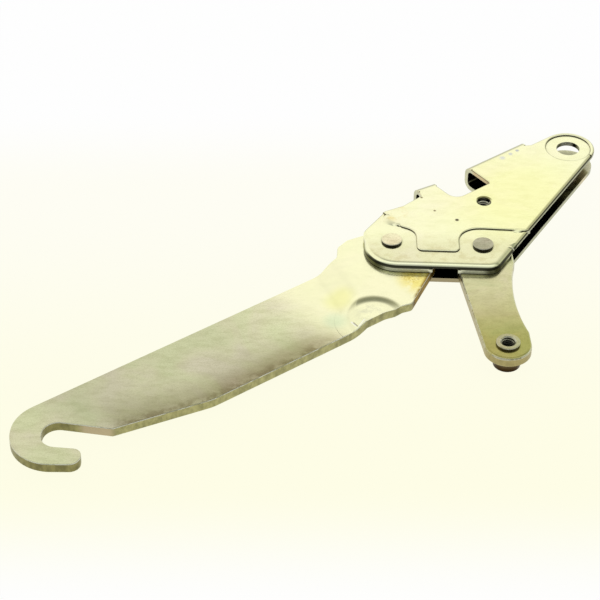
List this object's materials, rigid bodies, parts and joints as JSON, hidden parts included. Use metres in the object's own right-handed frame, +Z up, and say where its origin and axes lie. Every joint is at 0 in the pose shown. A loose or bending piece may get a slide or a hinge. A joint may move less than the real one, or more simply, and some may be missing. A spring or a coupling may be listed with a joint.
{
  "type": "dishwasher door hinge",
  "caption": "Folded steel hinge housing with an eyelet, carrying a long joggled arm that ends in a spring hook and a short pivoting link with a threaded bush.",
  "frame": {"origin": "on the eyelet's axis, at the outer face of the lower cheek", "axes": "+Z up along the eyelet and both pivots, +X to the right along the housing's front edge, +Y away from the front edge"},
  "size_m": [0.1824, 0.1565, 0.0119],
  "materials": {
    "housing_zinc": "yellow-passivated zinc plate on pressed sheet, lightly scratched",
    "arm_zinc": "yellow-passivated zinc plate with faint stains and a brown smear near the housing",
    "link_zinc": "yellow-passivated zinc plate",
    "rivet_steel": "greyer zinc plate on the closed ends",
    "bush_zinc": "yellow-passivated zinc plate, turned"
  },
  "bodies": {
    "housing": {"hinge_housing": "housing_zinc", "arm_rivet": "rivet_steel", "link_rivet": "rivet_steel"},
    "arm": {"hook_arm": "arm_zinc"},
    "link": {"short_link": "link_zinc", "threaded_bush": "bush_zinc"}
  },
  "joints": [
    {"name": "arm_pivot", "type": "hinge", "parent": "housing", "child": "arm", "pos_m": [-0.0612, -0.0514, 0.00365], "axis": [0, 0, 1], "range_deg": [-75, 15]},
    {"name": "link_pivot", "type": "hinge", "parent": "housing", "child": "link", "pos_m": [-0.0324, -0.0537, 0.00365], "axis": [0, 0, 1], "range_deg": [-20, 90]}
  ]
}
